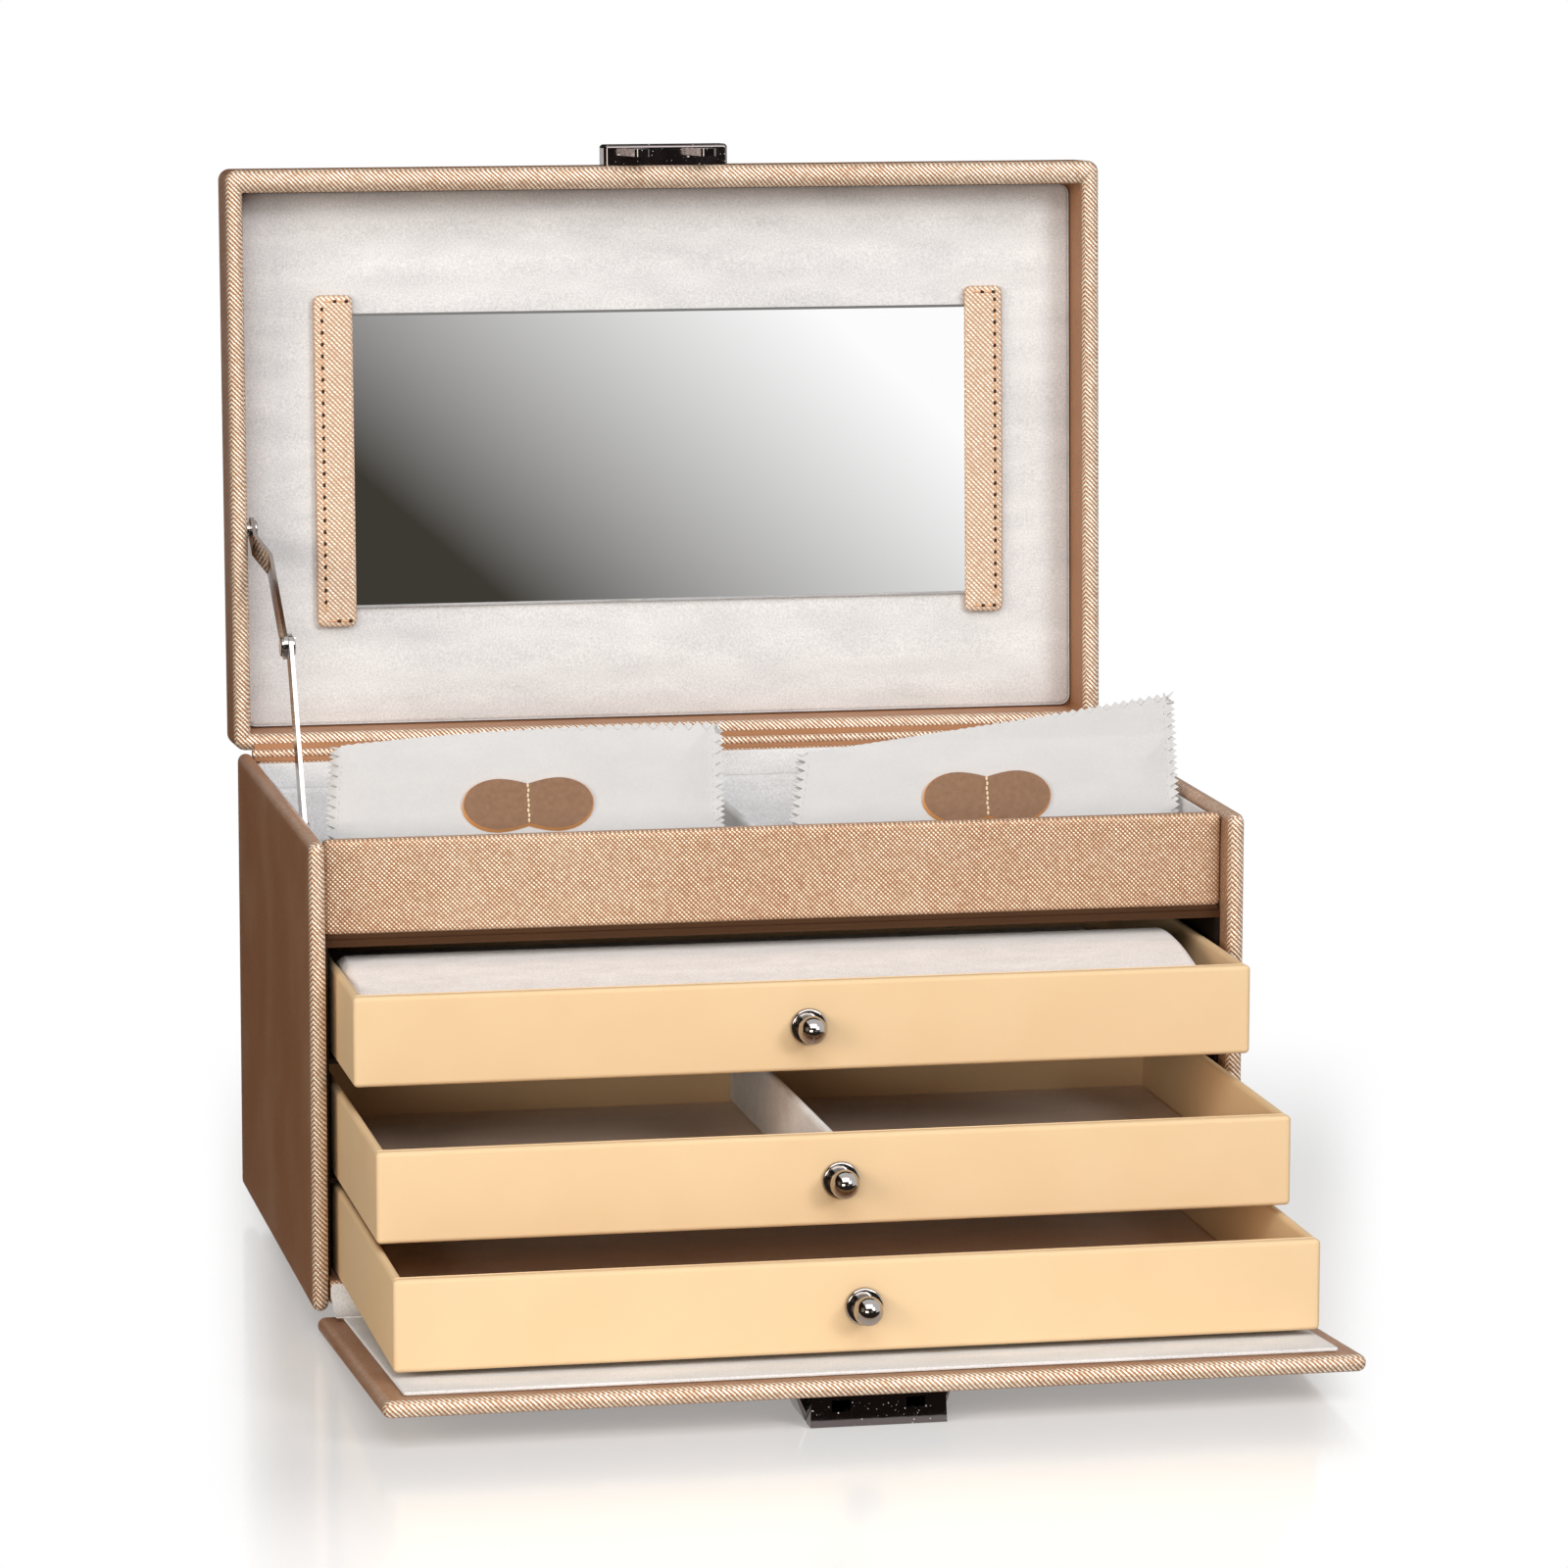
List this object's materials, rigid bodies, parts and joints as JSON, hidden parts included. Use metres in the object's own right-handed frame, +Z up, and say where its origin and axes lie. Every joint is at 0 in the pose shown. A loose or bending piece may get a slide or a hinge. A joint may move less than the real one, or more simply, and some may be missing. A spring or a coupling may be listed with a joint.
{
  "type": "jewelry case",
  "caption": "Leather-covered jewelry case shown open: mirror lid on a folding stay, drop front with a key lock, stepped drawers with ball knobs, and cloth pouches.",
  "frame": {"origin": "middle of the floor area that the whole open case covers, from the flap's free edge to the open lid's back", "axes": "+X to the right as seen from the front, +Y to the back, +Z up"},
  "size_m": [0.28, 0.347, 0.3335],
  "materials": {
    "saffiano": "pressed cross-hatch, rose-gold metallic",
    "suede": "short-pile, matt",
    "drawer_paper": "smooth, satin, cream",
    "bay_board": "black, matt",
    "hinge_leather": "smooth, satin",
    "chrome_metal": "polished",
    "mirror_glass": "silvered, bevelled",
    "pouch_cloth": "microfibre, matt",
    "patch_leather": "pressed cross-hatch, satin",
    "rubber": "matt"
  },
  "bodies": {
    "case": {"left_side_panel": "saffiano", "right_side_panel": "saffiano", "back_panel": "saffiano", "base_board": "saffiano", "base_front_lining": "suede", "feet": "rubber", "front_rail": "saffiano", "left_bay_wall": "bay_board", "right_bay_wall": "bay_board", "lower_shelf": "bay_board", "upper_shelf": "bay_board", "compartment_board": "bay_board", "compartment_lining": "suede", "rear_pad": "suede", "compartment_divider": "suede", "lid_hinge_strip": "hinge_leather", "flap_hinge_strip": "suede", "stay_case_rivet": "chrome_metal"},
    "lid": {"lid_shell": "saffiano", "lid_lining": "suede", "lid_hinge_leaf": "hinge_leather", "mirror": "mirror_glass", "left_mirror_tab": "saffiano", "right_mirror_tab": "saffiano", "lid_hasp": "chrome_metal", "stay_lid_rivet": "chrome_metal"},
    "stay_upper": {"stay_upper_link": "chrome_metal", "stay_upper_rivet": "chrome_metal"},
    "stay_lower": {"stay_lower_link": "chrome_metal", "stay_lower_rivet": "chrome_metal"},
    "flap": {"flap_board": "saffiano", "flap_lining": "suede", "lock_case": "chrome_metal", "lock_pins": "chrome_metal"},
    "lock_core": {"lock_plug": "chrome_metal"},
    "lock_slide": {"lock_bolt": "chrome_metal"},
    "drawer_1": {"drawer_1_box": "drawer_paper", "drawer_1_front": "drawer_paper", "drawer_1_lining": "suede", "drawer_1_knob": "chrome_metal", "drawer_1_screw": "chrome_metal"},
    "drawer_2": {"drawer_2_box": "drawer_paper", "drawer_2_front": "drawer_paper", "drawer_2_lining": "suede", "drawer_2_knob": "chrome_metal", "drawer_2_screw": "chrome_metal", "drawer_2_divider": "suede"},
    "drawer_3": {"drawer_3_box": "drawer_paper", "drawer_3_front": "drawer_paper", "drawer_3_lining": "suede", "drawer_3_knob": "chrome_metal", "drawer_3_screw": "chrome_metal"},
    "pouch_left": {"pouch_left": "pouch_cloth", "pouch_left_patch": "patch_leather"},
    "pouch_right": {"pouch_right": "pouch_cloth", "pouch_right_patch": "patch_leather"}
  },
  "joints": [
    {"name": "lid_hinge", "type": "hinge", "parent": "case", "child": "lid", "pos_m": [0, 0.1405, 0.1446], "axis": [-1, 0, 0], "range_deg": [-92.5, 0], "deforming": ["pouch_left", "pouch_left_patch", "pouch_right", "pouch_right_patch"]},
    {"name": "stay_lower_pivot", "type": "hinge", "parent": "case", "child": "stay_lower", "pos_m": [0, 0.0705, 0.1311], "axis": [-1, 0, 0], "range_deg": [-104.4, 0]},
    {"name": "stay_upper_pivot", "type": "hinge", "parent": "lid", "child": "stay_upper", "pos_m": [0, 0.15155, 0.21418], "axis": [-1, 0, 0], "range_deg": [0, 118.32]},
    {"name": "flap_hinge", "type": "hinge", "parent": "case", "child": "flap", "pos_m": [0, -0.0361, 0.0076], "axis": [1, 0, 0], "range_deg": [-0.7, 0]},
    {"name": "lock_key_turn", "type": "hinge", "parent": "flap", "child": "lock_core", "pos_m": [0, -0.15372, 0.00825], "axis": [0, 0.0667, 0.9978], "range_deg": [-90.5, 0]},
    {"name": "lock_bolt_slide", "type": "slide", "parent": "flap", "child": "lock_slide", "axis": [1, 0, 0], "range_m": [-0.0022, 0]},
    {"name": "drawer_1_slide", "type": "slide", "parent": "case", "child": "drawer_1", "axis": [0, -1, 0], "range_m": [-0.0449, 0.0853]},
    {"name": "drawer_2_slide", "type": "slide", "parent": "case", "child": "drawer_2", "axis": [0, -1, 0], "range_m": [-0.09, 0.0402]},
    {"name": "drawer_3_slide", "type": "slide", "parent": "case", "child": "drawer_3", "axis": [0, -1, 0], "range_m": [-0.1219, 0.0083]},
    {"name": "pouch_left_lift", "type": "slide", "parent": "case", "child": "pouch_left", "axis": [0, 0, 1], "range_m": [0, 0.06]},
    {"name": "pouch_right_lift", "type": "slide", "parent": "case", "child": "pouch_right", "axis": [0, 0, 1], "range_m": [0, 0.06]}
  ],
  "couplings": [
    {"joint": "stay_lower_pivot", "follows": "lid_hinge", "ratio": 1.1275},
    {"joint": "stay_upper_pivot", "follows": "lid_hinge", "ratio": -1.2781},
    {"joint": "lock_key_turn", "follows": "lock_bolt_slide", "rad_per_m": 714}
  ]
}
